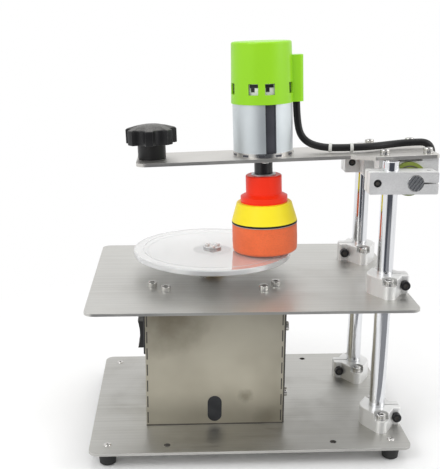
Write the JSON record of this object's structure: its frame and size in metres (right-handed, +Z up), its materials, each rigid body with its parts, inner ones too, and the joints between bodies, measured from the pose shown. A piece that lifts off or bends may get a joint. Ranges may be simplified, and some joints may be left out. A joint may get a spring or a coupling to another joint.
{
  "type": "disc repair machine",
  "caption": "Bench machine that polishes an optical disc: a clear turntable on a boxed drive, and a hinged arm that carries a motor with a foam pad.",
  "frame": {"origin": "on the floor under the feet, at the middle of the outline from the plates' left edge to the arm's right end", "axes": "+X to the right, towards the hinge; +Y to the back, away from the slotted panel; +Z up"},
  "size_m": [0.2697, 0.175, 0.3002],
  "materials": {
    "stainless": "brushed",
    "box_steel": "brushed",
    "zinc": "zinc plated",
    "chrome": "polished",
    "aluminium": "bead blasted",
    "olive_bush": "yellow chromate",
    "screw_steel": "bright",
    "screw_black": "black oxide",
    "rubber": "matt",
    "black_plastic": "fine grain",
    "green_plastic": "satin",
    "white_plastic": "satin",
    "red_plastic": "gloss",
    "yellow_plastic": "gloss",
    "orange_foam": "open foam",
    "hook_tape": "woven hook",
    "loop_tape": "brushed loop",
    "acrylic": "clear, polished",
    "board": "coated",
    "dark_steel": "black",
    "cable_jacket": "soft PVC",
    "motor_steel": "plain"
  },
  "bodies": {
    "frame": {"base_plate": "stainless", "rubber_feet": "rubber", "foot_screws": "screw_steel", "table_plate": "stainless", "table_screws": "screw_steel", "box_screws": "screw_steel", "front_panel": "box_steel", "back_panel": "box_steel", "left_panel": "box_steel", "right_cover": "box_steel", "corner_posts": "box_steel", "slot_blank": "rubber", "switch_bezel": "black_plastic", "power_socket": "black_plastic", "speed_board": "board", "gearmotor": "motor_steel", "spindle_bush": "olive_bush", "rod_front": "chrome", "rod_back": "chrome", "rod_support_base_front": "aluminium", "rod_support_base_back": "aluminium", "rod_support_mid_front": "aluminium", "rod_support_mid_back": "aluminium", "support_screws": "screw_steel", "support_nuts": "screw_steel", "support_clamp_screws": "screw_black", "rod_clamp_front": "aluminium", "rod_clamp_back": "aluminium", "rod_clamp_screws": "screw_black", "pivot_shaft": "chrome", "cable_grommets": "rubber"},
    "rocker": {"switch_rocker": "black_plastic"},
    "turntable": {"output_shaft": "screw_steel", "turntable_spindle": "aluminium", "turntable_disc": "acrylic", "centring_hub": "aluminium", "hub_screws": "screw_steel"},
    "arm": {"hinge_block_front": "aluminium", "hinge_block_back": "aluminium", "flange_bushes": "olive_bush", "arm_plate": "stainless", "hinge_screws": "screw_steel", "star_knob": "black_plastic", "knob_stud": "screw_black", "motor_can": "dark_steel", "flux_ring": "zinc", "motor_bell": "white_plastic", "motor_cap": "green_plastic", "motor_screws": "screw_steel", "cable_ties": "white_plastic", "motor_cable": "cable_jacket"},
    "pad_spindle": {"motor_shaft": "screw_steel", "drive_coupling": "dark_steel", "pad_hub": "red_plastic", "hub_ring": "screw_steel", "backing_cone": "yellow_plastic", "hook_disc": "hook_tape", "loop_disc": "loop_tape", "polishing_pad": "orange_foam"}
  },
  "joints": [
    {"name": "arm_pivot", "type": "hinge", "parent": "frame", "child": "arm", "pos_m": [0.10604, -0.0025, 0.20298], "axis": [0, 1, 0], "range_deg": [0, 85], "deforming": ["motor_cable"]},
    {"name": "pad_spin", "type": "hinge", "parent": "arm", "child": "pad_spindle", "pos_m": [0.00311, -0.0025, 0.19903], "axis": [-0.0384, 0, 0.9993], "continuous": true},
    {"name": "turntable_spin", "type": "hinge", "parent": "frame", "child": "turntable", "pos_m": [-0.03546, 0.0065, 0.137], "axis": [0, 0, 1], "continuous": true},
    {"name": "switch_rock", "type": "hinge", "parent": "frame", "child": "rocker", "pos_m": [-0.08546, -0.02, 0.0816], "axis": [0, 1, 0], "range_deg": [-10, 10]}
  ]
}
